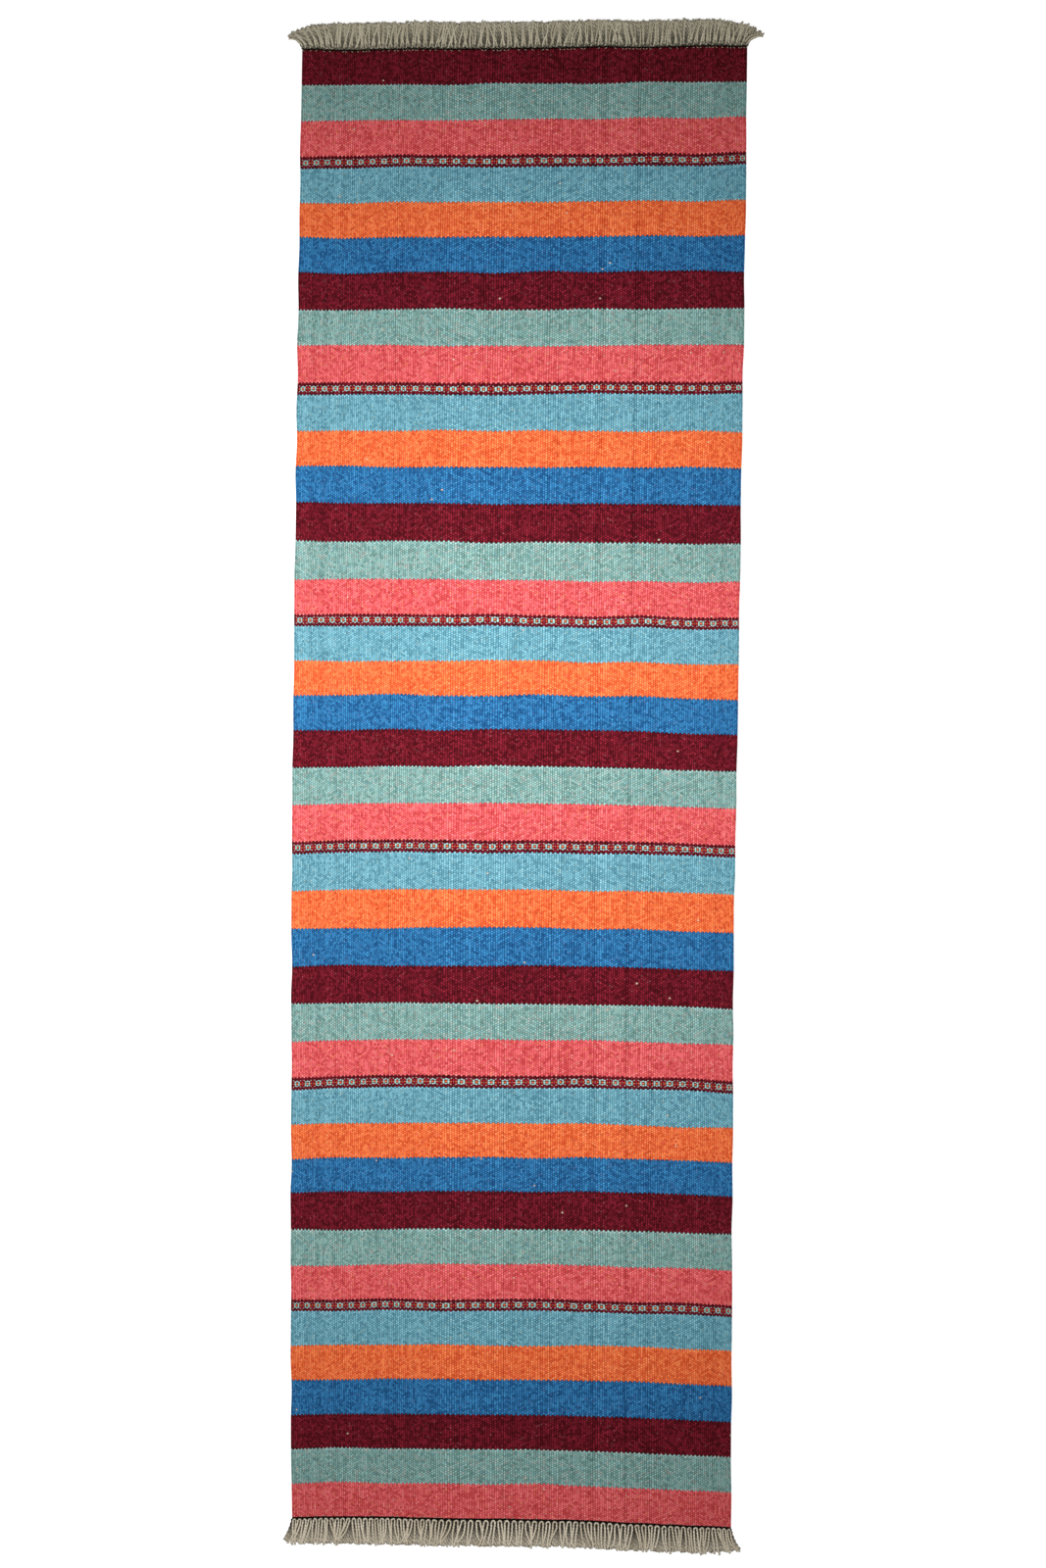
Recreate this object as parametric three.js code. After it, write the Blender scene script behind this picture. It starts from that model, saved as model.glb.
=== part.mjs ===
// A flat-woven runner rug, lying flat on the floor.
// Millimetres, +Z up, +Y along the length towards the head end, +X across.
// The origin is on the floor, under the middle of the rug.
//
// The rug is a weft-faced weave: one set of warps runs the whole length, and
// bands of dyed weft wrap it, so each band is a flat sleeve around the warps.
// Every repeat of seven bands has one narrow band with a row of flowers, laid
// in as extra weft that floats on the face. A twined cord locks each end, and
// the warp ends beyond it are plied into a fringe.
import * as THREE from "three";

// Driving dimensions, with the bands counted from the head end
const HEAD_WIDTH = 606;
const FOOT_WIDTH = 598;
const THICKNESS = 4;
const PLAIN_BAND_LENGTHS = [48, 49.75, 48.5, 51, 48.5, 48, 47.5];
const FLOWER_BAND_LENGTH = 16;
const WARP_THICKNESS = 1.5;
const SELVEDGE_WALL = 1.5;
const SELVEDGE_CORD_RADIUS = 0.65;
const FIT_GAP = 0.3;
const TWINING_LENGTH = 2.5;
const FLOAT_THICKNESS = 0.75;
const FLOWERS_PER_BAND = 35;
const FLOWER_LENGTH = 9;
const FLOWER_SHARE = 0.55;
const POINT_SHARE = 0.2;
const LINK_LENGTH = 2.2;
const FRINGE_LENGTH = 38;
const FRINGE_THICKNESS = 4;
const TASSELS_PER_END = 70;
const TASSEL_FILL = 0.8;
const TASSEL_ROOT_LENGTH = 3;
const CORNER_LEAN = THREE.MathUtils.degToRad(32);
const CORNER_LEAN_POWER = 6;

const REPEAT = ["maroon", "sage", "coral", "flowered", "sky", "orange", "blue"];
const BANDS_AFTER_LAST_REPEAT = 3;
const ARC_SEGMENTS = 3;
const CORD_SIDES = 8;

const YARNS = {
  maroon: 0x741c29,
  sage: 0x8db4af,
  coral: 0xf56667,
  flowered: 0x741c29,
  sky: 0x78b6c8,
  orange: 0xfb7b45,
  blue: 0x347bb3,
  flower: 0xb5dcd2,
  warp: 0xd8d0bd,
  twining: 0x2b241c,
  fringe: 0x8c8574,
};

// Every band in order from the head end: its colour and its length.
function bandPlan() {
  const plan = [];
  PLAIN_BAND_LENGTHS.forEach((plainLength, repeat) => {
    const last = repeat === PLAIN_BAND_LENGTHS.length - 1;
    const colours = last ? REPEAT.slice(0, BANDS_AFTER_LAST_REPEAT) : REPEAT;
    colours.forEach((colour) => {
      const length = colour === "flowered" ? FLOWER_BAND_LENGTH : plainLength;
      plan.push({ colour, length });
    });
  });
  return plan;
}

const BANDS = bandPlan();
const FIELD_LENGTH = BANDS.reduce((sum, band) => sum + band.length, 0);
const FIELD_END = FIELD_LENGTH / 2;
const FRINGE_ROOT = FIELD_END + TWINING_LENGTH;
const WARP_FLOOR = (THICKNESS - WARP_THICKNESS) / 2;

// Half the rug's width: the weaving drew in a little from head to foot.
function halfWidth(y) {
  const share = 0.5 + y / FIELD_LENGTH;
  return THREE.MathUtils.lerp(FOOT_WIDTH, HEAD_WIDTH, share) / 2;
}

// Half the width of the slot inside the weft, where the warps run.
function slotHalfWidth(y) {
  return halfWidth(y) - SELVEDGE_WALL;
}

// Half the width of the warp set, which leaves room for the selvedge cords.
function warpHalfWidth(y) {
  return slotHalfWidth(y) - 2 * SELVEDGE_CORD_RADIUS - 2 * FIT_GAP;
}

function yarnMaterial(yarn) {
  return new THREE.MeshStandardMaterial({
    color: YARNS[yarn],
    roughness: 0.95,
    metalness: 0,
  });
}

function addPiece(group, name, yarn, geometry) {
  const mesh = new THREE.Mesh(geometry, yarnMaterial(yarn));
  mesh.name = name;
  group.add(mesh);
  return mesh;
}

// A flat sleeve of weft with round selvedges, open where the warps go through.
// It starts at y = 0 and runs towards -Y.
function sleeveGeometry(y, length) {
  const radius = THICKNESS / 2;
  const flat = halfWidth(y) - radius;
  const slot = slotHalfWidth(y);
  const section = new THREE.Shape();
  section.absarc(flat, radius, radius, -Math.PI / 2, Math.PI / 2);
  section.absarc(-flat, radius, radius, Math.PI / 2, (3 * Math.PI) / 2);
  section.closePath();
  const hole = new THREE.Path();
  hole.moveTo(-slot, WARP_FLOOR);
  hole.lineTo(-slot, WARP_FLOOR + WARP_THICKNESS);
  hole.lineTo(slot, WARP_FLOOR + WARP_THICKNESS);
  hole.lineTo(slot, WARP_FLOOR);
  hole.closePath();
  section.holes.push(hole);
  const geometry = new THREE.ExtrudeGeometry(section, {
    depth: length,
    bevelEnabled: false,
    curveSegments: ARC_SEGMENTS,
  });
  return geometry.rotateX(Math.PI / 2);
}

// A plate with the given outline in plan.
function plateGeometry(outline, thickness) {
  return new THREE.ExtrudeGeometry(new THREE.Shape(outline), {
    depth: thickness,
    bevelEnabled: false,
  });
}

// How much width the warps at share v of the way from left to right take up.
// They lie closer at both selvedges, and a little closer in the left third.
function warpSpacing(v) {
  const step = 1.25 * Math.tanh((v - 0.36) / 0.04);
  const swell = 1.6 * Math.exp(-(((v - 0.42) / 0.05) ** 2));
  const leftDraw = 1.7 * Math.exp(-v / 0.06);
  const rightDraw = 5 * Math.exp(-(1 - v) / 0.08);
  return 12.9 + step + swell - leftDraw - rightDraw;
}

// The centre and width of each flower's stretch of warps, across the rug.
function flowerStretches(reach) {
  const spacings = [];
  for (let i = 0; i < FLOWERS_PER_BAND; i += 1) {
    spacings.push(warpSpacing((i + 0.5) / FLOWERS_PER_BAND));
  }
  const total = spacings.reduce((sum, spacing) => sum + spacing, 0);
  let left = -reach;
  return spacings.map((spacing) => {
    const width = (2 * reach * spacing) / total;
    const centre = left + width / 2;
    left += width;
    return { centre, width };
  });
}

// A row of pointed flowers, joined by the floats between them.
function flowerChainOutline(y) {
  const upper = [];
  flowerStretches(halfWidth(y) - THICKNESS).forEach(({ centre, width }) => {
    const side = (FLOWER_SHARE * width) / 2;
    const point = (POINT_SHARE * width) / 2;
    upper.push(
      new THREE.Vector2(centre - side, LINK_LENGTH / 2),
      new THREE.Vector2(centre - point, FLOWER_LENGTH / 2),
      new THREE.Vector2(centre + point, FLOWER_LENGTH / 2),
      new THREE.Vector2(centre + side, LINK_LENGTH / 2),
    );
  });
  const lower = upper.map((p) => new THREE.Vector2(p.x, -p.y)).reverse();
  return [...lower, ...upper].reverse();
}

// A fringe seen from above, with its root on y = 0 and its tips towards +Y.
// The tassels at the corners lean outwards.
function fringeOutline(width) {
  const pitch = width / TASSELS_PER_END;
  const half = (TASSEL_FILL * pitch) / 2;
  const outline = [new THREE.Vector2(-width / 2, 0)];
  for (let i = 0; i < TASSELS_PER_END; i += 1) {
    const x = -width / 2 + (i + 0.5) * pitch;
    const u = (2 * x) / width;
    const lean = Math.sign(u) * CORNER_LEAN * Math.abs(u) ** CORNER_LEAN_POWER;
    const reach = FRINGE_LENGTH - TASSEL_ROOT_LENGTH;
    const tipX = x + reach * Math.sin(lean);
    const tipY = TASSEL_ROOT_LENGTH + reach * Math.cos(lean);
    outline.push(
      new THREE.Vector2(x - half, TASSEL_ROOT_LENGTH),
      new THREE.Vector2(tipX - half, tipY),
      new THREE.Vector2(tipX + half, tipY),
      new THREE.Vector2(x + half, TASSEL_ROOT_LENGTH),
    );
  }
  outline.push(new THREE.Vector2(width / 2, 0));
  return outline.reverse();
}

function addBands(group) {
  let y = FIELD_END;
  BANDS.forEach(({ colour, length }, i) => {
    const number = String(i + 1).padStart(2, "0");
    const middle = y - length / 2;
    const band = addPiece(
      group,
      `band_${number}_${colour}`,
      colour,
      sleeveGeometry(middle, length),
    );
    band.position.y = y;
    if (colour === "flowered") {
      const chain = addPiece(
        group,
        `flower_floats_${number}`,
        "flower",
        plateGeometry(flowerChainOutline(middle), FLOAT_THICKNESS),
      );
      chain.position.set(0, middle, THICKNESS);
    }
    y -= length;
  });
}

function addWarps(group) {
  const outline = [
    new THREE.Vector2(-warpHalfWidth(-FRINGE_ROOT), -FRINGE_ROOT),
    new THREE.Vector2(warpHalfWidth(-FRINGE_ROOT), -FRINGE_ROOT),
    new THREE.Vector2(warpHalfWidth(FRINGE_ROOT), FRINGE_ROOT),
    new THREE.Vector2(-warpHalfWidth(FRINGE_ROOT), FRINGE_ROOT),
  ];
  const warps = addPiece(
    group,
    "warp_set",
    "warp",
    plateGeometry(outline, WARP_THICKNESS),
  );
  warps.position.z = WARP_FLOOR;
}

// The doubled outer warps, one cord in each selvedge, which follow the taper.
function addSelvedgeCords(group) {
  const inset = FIT_GAP + SELVEDGE_CORD_RADIUS;
  const taper = Math.atan((HEAD_WIDTH - FOOT_WIDTH) / 2 / FIELD_LENGTH);
  [
    ["selvedge_cord_left", -1],
    ["selvedge_cord_right", 1],
  ].forEach(([name, side]) => {
    const geometry = new THREE.CylinderGeometry(
      SELVEDGE_CORD_RADIUS,
      SELVEDGE_CORD_RADIUS,
      2 * FRINGE_ROOT,
      CORD_SIDES,
    );
    const cord = addPiece(group, name, "warp", geometry);
    cord.rotation.z = -side * taper;
    cord.position.set(side * (slotHalfWidth(0) - inset), 0, THICKNESS / 2);
  });
}

// A twined cord past the first and last band, which keeps the weft from
// sliding off the warps.
function addEndTwining(group) {
  const head = addPiece(
    group,
    "end_twining_head",
    "twining",
    sleeveGeometry(FIELD_END, TWINING_LENGTH),
  );
  head.position.y = FRINGE_ROOT;
  const foot = addPiece(
    group,
    "end_twining_foot",
    "twining",
    sleeveGeometry(-FIELD_END, TWINING_LENGTH),
  );
  foot.position.y = -FIELD_END;
}

function addFringes(group) {
  const head = addPiece(
    group,
    "fringe_head",
    "fringe",
    plateGeometry(fringeOutline(HEAD_WIDTH), FRINGE_THICKNESS),
  );
  head.position.y = FRINGE_ROOT;
  const foot = addPiece(
    group,
    "fringe_foot",
    "fringe",
    plateGeometry(fringeOutline(FOOT_WIDTH), FRINGE_THICKNESS),
  );
  foot.rotation.z = Math.PI;
  foot.position.y = -FRINGE_ROOT;
}

const rug = new THREE.Group();
addBands(rug);
addWarps(rug);
addSelvedgeCords(rug);
addEndTwining(rug);
addFringes(rug);

export default rug;
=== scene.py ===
"""A flat-woven runner rug lying on a pale floor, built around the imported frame.

Lengths are in millimetres until a mesh is made, and x runs across the rug and y
towards its head end, as in the frame. A point of the cloth has weave coordinates:
c counts warps from the left selvedge, and r counts picks of weft from the head.
Rib k lies between valleys k and k + 1, over one warp. A pick passes over every
second rib, so rib k shows one bead of yarn for each pick whose number is odd or
even as k is.
"""

import math
from collections import namedtuple

import bpy
import numpy as np
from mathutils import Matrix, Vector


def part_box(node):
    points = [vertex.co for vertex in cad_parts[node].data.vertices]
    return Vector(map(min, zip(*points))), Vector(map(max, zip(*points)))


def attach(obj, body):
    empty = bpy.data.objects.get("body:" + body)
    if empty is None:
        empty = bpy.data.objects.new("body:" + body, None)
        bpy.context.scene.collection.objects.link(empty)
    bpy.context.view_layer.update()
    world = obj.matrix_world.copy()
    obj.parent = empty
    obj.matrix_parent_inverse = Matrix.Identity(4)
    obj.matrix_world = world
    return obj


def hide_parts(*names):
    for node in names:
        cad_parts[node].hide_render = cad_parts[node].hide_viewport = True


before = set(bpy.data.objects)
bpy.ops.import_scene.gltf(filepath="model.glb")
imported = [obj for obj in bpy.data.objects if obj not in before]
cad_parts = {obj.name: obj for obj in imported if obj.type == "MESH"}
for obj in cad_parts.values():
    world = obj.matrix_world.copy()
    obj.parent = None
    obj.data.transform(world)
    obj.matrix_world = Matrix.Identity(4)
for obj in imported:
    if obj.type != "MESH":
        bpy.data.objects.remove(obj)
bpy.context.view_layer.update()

MM = 0.001
SEED = 519

# Weave, with heights above the lowest side of the cloth
HALF_WIDTH = 300.0
WARPS = 210
PICK = 1.6
WARPS_PER_FLOWER = 6
WARPS_PER_BUNCH = 3
VALLEY_HEIGHT = 2.95
GROOVE_HEIGHT = 3.3
CREST_HEIGHT = 3.85
UNDER_VALLEY_HEIGHT = 0.6
UNDER_CREST_HEIGHT = 0.1
LOWEST_WEFT_HEIGHT = 0.02
LOWEST_YARN_HEIGHT = 0.05
ZIGZAG = 0.17
SELVEDGE_RADIUS = 1.95
SELVEDGE_BEAD_RISE = 0.12
SLIT_VALLEYS = (53, 105, 158)
SLIT_HALF_WIDTH = 0.03
LIP_STEP = 1e-4
SLIT_DEPTH = 0.5
UNDULATION = 0.9
WARP_RADIUS = 0.7
WARP_HEIGHT = 2.0
OUTER_WARP_RADIUS = 0.95
OUTER_WARP_TURN = 9.0
OUTER_WARP_INSET = 2.0
FLOAT_ROOT_HEIGHT = 3.25

# How far the picks lie towards the foot of even beating, at shares of the length
CREEP_SHARES = (0.0, 0.31, 0.355, 0.49, 0.58, 0.63, 0.66, 0.73, 0.78, 0.81, 0.9, 1.0)
CREEP_LENGTHS = (-0.5, 1.0, 8.0, 1.0, -0.5, 1.5, 5.5, 6.0, 0.0, 6.0, 1.5, 0.0)

# Fringe and end cords
STRAND_RADIUS = 1.45
LOOP_RADIUS = 1.55
UNDER_STRAND_RADIUS = 2.3
STRAND_TURN = 12.0
STRAND_STEPS = 28
FRAY_START = 0.88
FRINGE_LENGTH = 38.0
SHORTER_PER_RADIAN = 8.0
HEAD_ROOT_GAP = 2.0
FOOT_ROOT_GAP = 3.1
LOOP_HEIGHT = 3.2
END_CORD_TURN = 5.6
STITCH_RADIUS = 0.6
STITCH_TURN = 4.0
FULL_TURN = 2 * math.pi
BUNCHES = WARPS // WARPS_PER_BUNCH

# Camera
VIEW_HEIGHT = 2131.7
VIEW_CENTRE = (11.3, 1.2)
CAMERA_ROLL = math.radians(0.477)
LENS = 100.0
SENSOR = 36.0

# Light, with places and sizes in metres and power in watts
AREA_LIGHTS = {
    "key_light": {"place": (-0.09, 0.22, 0.88), "size": 0.7, "power": 11.5},
    "foot_light": {"place": (-0.09, -0.71, 0.88), "size": 0.7, "power": 4.1},
}
WORLD_STRENGTH = 0.136
FLOOR_REACH = 30.0
FLOOR_GLOW = 0.85


# ---- small maths


def smooth_step(start, end, x):
    """0 before start, 1 after end, and a smooth rise between."""
    t = np.clip((x - start) / (end - start), 0, 1)
    return t * t * (3 - 2 * t)


def soft_noise(rng, cells_u, cells_v):
    """A smooth random function of u and v, both from 0 to 1, with values from -1 to 1."""
    grid = rng.uniform(-1, 1, (cells_u + 2, cells_v + 2))

    def value(u, v):
        p = np.clip(u, 0, 1) * cells_u
        q = np.clip(v, 0, 1) * cells_v
        i = np.floor(p).astype(int)
        j = np.floor(q).astype(int)
        s = smooth_step(0, 1, p - i)
        t = smooth_step(0, 1, q - j)
        near = grid[i, j] * (1 - t) + grid[i, j + 1] * t
        far = grid[i + 1, j] * (1 - t) + grid[i + 1, j + 1] * t
        return near * (1 - s) + far * s

    return value


# ---- the bands


Band = namedtuple("Band", "node number colour head foot half_width")


def read_bands():
    """The bands from the head end, with the y of their head and foot edges."""
    bands = []
    for node in sorted(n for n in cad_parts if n.startswith("band_")):
        low, high = (np.array(p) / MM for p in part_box(node))
        _, number, colour = node.split("_")
        half_width = (high[0] - low[0]) / 2
        bands.append(Band(node, number, colour, high[1], low[1], half_width))
    return bands


BANDS = read_bands()
FIELD_END = BANDS[0].head
FIELD_LENGTH = BANDS[0].head - BANDS[-1].foot
PICK_COUNTS = [int(round((band.head - band.foot) / PICK)) for band in BANDS]
BAND_PICKS = np.concatenate([[0], np.cumsum(PICK_COUNTS)])
BAND_EDGES = np.array([FIELD_END] + [band.foot for band in BANDS])
ALL_PICKS = int(BAND_PICKS[-1])
BAND_MIDDLES = np.array([(band.head + band.foot) / 2 for band in BANDS])
BAND_HALF_WIDTHS = np.array([band.half_width for band in BANDS])


def warp_spacing(v):
    """How wide the warps lie at share v of the way from left to right."""
    step = 1.25 * np.tanh((v - 0.36) / 0.04)
    swell = 1.6 * np.exp(-(((v - 0.42) / 0.05) ** 2))
    left_draw = 1.7 * np.exp(-v / 0.06)
    right_draw = 5 * np.exp(-(1 - v) / 0.08)
    return 12.9 + step + swell - left_draw - right_draw


def across_table(steps=2000):
    """Where each share of the warps lies, from -1 at the left edge to 1 at the right."""
    share = np.linspace(0, 1, steps + 1)
    spacing = warp_spacing(share)
    run = np.concatenate([[0], np.cumsum(spacing[1:] + spacing[:-1])])
    return share, 2 * run / run[-1] - 1


ACROSS = across_table()
DRIFT_SPAN = 61
SPARE_ROWS = 4
cloth_rng = np.random.default_rng(SEED)
WANDER = soft_noise(cloth_rng, 60, 22)
ROW_WAVE = soft_noise(cloth_rng, 9, 34)
ROW_RIPPLE = soft_noise(cloth_rng, 32, 110)
EDGE_WAVE = soft_noise(cloth_rng, 1, 45)
HEIGHT_WAVE = soft_noise(cloth_rng, 4, 13)
PICK_DRIFT = np.cumsum(cloth_rng.normal(0, 0.09, 2 * (ALL_PICKS + SPARE_ROWS) + 1))
PICK_DRIFT -= np.convolve(PICK_DRIFT, np.ones(DRIFT_SPAN) / DRIFT_SPAN, mode="same")
BEAD_HEIGHTS = cloth_rng.uniform(-1, 1, (WARPS, ALL_PICKS // 2 + SPARE_ROWS))
RIB_HEIGHTS = cloth_rng.uniform(-1, 1, WARPS + 1)
VALLEY_DEPTHS = cloth_rng.uniform(0, 1, WARPS + 1) ** 6


# Below, u runs from -1 at the left selvedge to 1 at the right one, and t from 0 at
# the head end of the field to 1 at its foot.


def stand_off_floor(u, t):
    """How far the cloth stands off the floor, where it isn't quite flat."""
    return UNDULATION * (0.5 + 0.5 * HEIGHT_WAVE((u + 1) / 2, t))


def row_shift(u, t):
    """How far a row of weft lies towards the head of its straight line."""
    tilt = 5.4 * u * (1 - smooth_step(0.0, 0.42, t))
    bow = -4.6 * (u * u - 0.33) * smooth_step(0.3, 0.5, t)
    foot = -3.8 * u * smooth_step(0.82, 1.0, t)
    wave = 1.5 * ROW_WAVE((u + 1) / 2, t) + 0.35 * ROW_RIPPLE((u + 1) / 2, t)
    return tilt + bow + foot + wave


def row_line(r):
    """The y of pick r where the row crosses the middle of the rug."""
    spare = 10
    picks = np.concatenate([[-spare], BAND_PICKS, [ALL_PICKS + spare]])
    before = BAND_EDGES[0] + spare * PICK
    after = BAND_EDGES[-1] - spare * PICK
    y = np.interp(r, picks, np.concatenate([[before], BAND_EDGES, [after]]))
    row = np.round(2 * np.asarray(r)).astype(int) + SPARE_ROWS
    index = np.clip(row, 0, len(PICK_DRIFT) - 1)
    creep = np.interp(0.5 - y / FIELD_LENGTH, CREEP_SHARES, CREEP_LENGTHS)
    return y - creep + PICK_DRIFT[index]


def cloth_point(c, r):
    """x, y and the height off the floor of weave point c, r.

    The middle line bends, the right half bulges a little in the part nearer the
    head, and the selvedges and ribs wander.
    """
    c = np.asarray(c, float)
    r = np.asarray(r, float)
    y = row_line(r)
    u = np.interp(c / WARPS, *ACROSS)
    t = 0.5 - y / FIELD_LENGTH
    half = np.interp(-y, -BAND_MIDDLES, BAND_HALF_WIDTHS)
    edge = 0.9 * EDGE_WAVE(0.2 + 0.6 * (u > 0), t)
    middle = 4.9 * (y / FIELD_END) ** 2 - 1 + 1.6 * (1 - smooth_step(0.1, 0.6, t))
    wander = 0.7 * WANDER(c / WARPS, t) * (1 - u**8)
    slack = 2.2 * np.clip(u, 0, 1) * np.sin(np.pi * np.clip(t / 0.6, 0, 1))
    x = u * (half + edge) + middle + wander + slack
    return x, y + row_shift(u, t), stand_off_floor(u, t)


# ---- mesh making


class Faces:
    """Polygons of any size, gathered as numpy arrays for one mesh."""

    def __init__(self):
        self.loops, self.sizes, self.smooth, self.slots = [], [], [], []

    def add(self, corners, smooth=True, slot=0):
        """corners is a table of vertex numbers, with one polygon in each row."""
        corners = np.atleast_2d(corners)
        self.loops.append(corners.ravel())
        self.sizes.append(np.full(len(corners), corners.shape[1]))
        self.smooth.append(np.full(len(corners), smooth))
        self.slots.append(np.full(len(corners), slot))


def make_mesh(name, points, faces, materials, attributes=None):
    """A mesh object in metres from points in millimetres, without its unused points."""
    loops = np.concatenate(faces.loops)
    sizes = np.concatenate(faces.sizes)
    used, loops = np.unique(loops, return_inverse=True)
    loops = loops.ravel()
    mesh = bpy.data.meshes.new(name)
    mesh.vertices.add(len(used))
    mesh.vertices.foreach_set("co", (points[used] * MM).astype(np.float32).ravel())
    mesh.loops.add(len(loops))
    mesh.loops.foreach_set("vertex_index", loops.astype(np.int32))
    mesh.polygons.add(len(sizes))
    starts = np.concatenate([[0], np.cumsum(sizes)[:-1]])
    mesh.polygons.foreach_set("loop_start", starts.astype(np.int32))
    for material in materials:
        mesh.materials.append(material)
    slots = np.concatenate(faces.slots).astype(np.int32)
    mesh.polygons.foreach_set("material_index", slots)
    mesh.update(calc_edges=True)
    mesh.polygons.foreach_set("use_smooth", np.concatenate(faces.smooth))
    for label, values in (attributes or {}).items():
        layer = mesh.attributes.new(label, "FLOAT_VECTOR", "POINT")
        layer.data.foreach_set("vector", values[used].astype(np.float32).ravel())
    mesh.update()
    piece = bpy.data.objects.new(name, mesh)
    bpy.context.scene.collection.objects.link(piece)
    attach(piece, "root")
    return piece


# ---- the weave


def lattice_columns():
    """The weave's columns from the left selvedge's underside to the right one's.

    Returns each column's c, its kind, and the rib of the strip to its right. A few
    valleys gape as slits, with a lip on each side.
    """
    wrap = (-0.75, -0.5, -0.25, 0.0, 1 / 3, 2 / 3)
    columns = [(c, "wrap", 0) for c in wrap]
    for rib in range(1, WARPS - 1):
        if rib in SLIT_VALLEYS:
            columns.append((rib, "lip", rib))
            columns.append((rib, "slit", rib))
            columns.append((rib + LIP_STEP, "lip", rib))
        else:
            columns.append((rib, "valley", rib))
        columns.append((rib + 1 / 3, "crest", rib))
        columns.append((rib + 2 / 3, "crest", rib))
    last = WARPS - 1
    columns.append((last, "valley", last))
    columns += [(WARPS - c, "wrap", last) for c in reversed(wrap)]
    c = np.array([column[0] for column in columns])
    kind = np.array([column[1] for column in columns])
    rib = np.array([column[2] for column in columns[:-1]])
    return c, kind, rib


COLUMNS, KINDS, STRIP_RIBS = lattice_columns()
WRAP_ANGLES = np.radians([-90, -52, -18, 14, 46, 76])
WRAP_COLUMNS = len(WRAP_ANGLES)


def shader_columns():
    """Each column's c, with the outer ribs' wraps drawn in to one warp's width.

    The last column stays just inside the last rib.
    """
    span = 1 - COLUMNS[0]
    left = (COLUMNS - COLUMNS[0]) / span
    right = WARPS - 1 + (COLUMNS - WARPS + 1) / (span + 0.01)
    return np.where(COLUMNS < 1, left, np.where(COLUMNS > WARPS - 1, right, COLUMNS))


def bead_phase(rib, r):
    """0 and 1 in the grooves at a bead's ends, and 0.5 at its middle."""
    return np.mod((r - rib) / 2 + 0.5, 1)


def lattice_points(rows):
    """The weave's upper surface, as a table of points by column and row."""
    c = COLUMNS[:, None]
    r = rows[None, :] / 2
    rib = np.clip(np.floor(COLUMNS + 1e-6), 0, WARPS - 1).astype(int)
    x, y, z = cloth_point(np.clip(c, 0, WARPS), r + 0 * c)
    valley = np.clip(np.round(COLUMNS), 0, WARPS).astype(int)
    in_valley = np.isin(KINDS, ["valley", "lip", "slit"])

    # The valleys swing away from the beads beside them, which bulge.
    pitch = np.gradient(np.interp(np.arange(WARPS + 1) / WARPS, *ACROSS)) * HALF_WIDTH
    swing = ZIGZAG * pitch[valley][:, None] * np.cos(np.pi * (r - valley[:, None]))
    x = x - np.where(in_valley[:, None], swing, 0)

    phase = bead_phase(rib[:, None], r)
    bulge = np.sin(np.pi * phase) ** 0.8
    bead = np.floor((r - rib[:, None]) / 2 + 0.5).astype(int) % BEAD_HEIGHTS.shape[1]
    uneven = 0.09 * BEAD_HEIGHTS[rib[:, None], bead] * bulge
    crest = GROOVE_HEIGHT + (CREST_HEIGHT - GROOVE_HEIGHT) * bulge + uneven
    crest = crest + 0.08 * RIB_HEIGHTS[rib][:, None]
    deep = VALLEY_HEIGHT - 0.18 * VALLEY_DEPTHS[valley][:, None]
    height = np.where(in_valley[:, None], deep, crest)

    for position, kind in enumerate(KINDS):
        if kind == "slit":
            height[position] -= SLIT_DEPTH
            lip = x[position].copy()
            x[position - 1] = lip - SLIT_HALF_WIDTH
            x[position + 1] = lip + SLIT_HALF_WIDTH
    z = z + height

    # The outer ribs wrap the selvedge cords, round to the underside.
    edges = (x[COLUMNS == 0][0], x[COLUMNS == WARPS][0])
    stand = cloth_point(np.array([[0.0], [WARPS]]), r + np.zeros((2, 1)))[2]
    for side, inward in ((0, 1), (1, -1)):
        for i, angle in enumerate(WRAP_ANGLES):
            j = i if side == 0 else len(x) - 1 - i
            thick = SELVEDGE_RADIUS + SELVEDGE_BEAD_RISE * (np.sin(np.pi * phase[j]) - 0.6)
            reach = thick * (1 - math.cos(angle)) + 0.1 * (SELVEDGE_RADIUS - thick)
            rise = SELVEDGE_RADIUS + thick * math.sin(angle)
            x[j] = edges[side] + inward * reach
            z[j] = stand[side] + rise
    return np.stack([x, y, np.maximum(z, LOWEST_WEFT_HEIGHT)], axis=-1)


def under_points(top, rows):
    """The weave's underside below some rows of the upper surface."""
    low = top.copy()
    c = COLUMNS[:, None]
    stand = cloth_point(np.clip(c, 0, WARPS), rows / 2 + 0 * c)[2]
    height = np.where(KINDS == "crest", UNDER_CREST_HEIGHT, UNDER_VALLEY_HEIGHT)
    height = np.where(KINDS == "slit", UNDER_VALLEY_HEIGHT + SLIT_DEPTH, height)
    low[..., 2] = stand + height[:, None]
    return low


def rib_edge(pick, rib):
    """The row, in half picks, where rib's beads change over at a band's edge.

    The two ends of the field are beaten flush against the twined cords.
    """
    if pick in (0, ALL_PICKS):
        return 2 * pick + 0 * rib
    return 2 * (pick - 1) + 2 * ((pick + rib) % 2)


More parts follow.
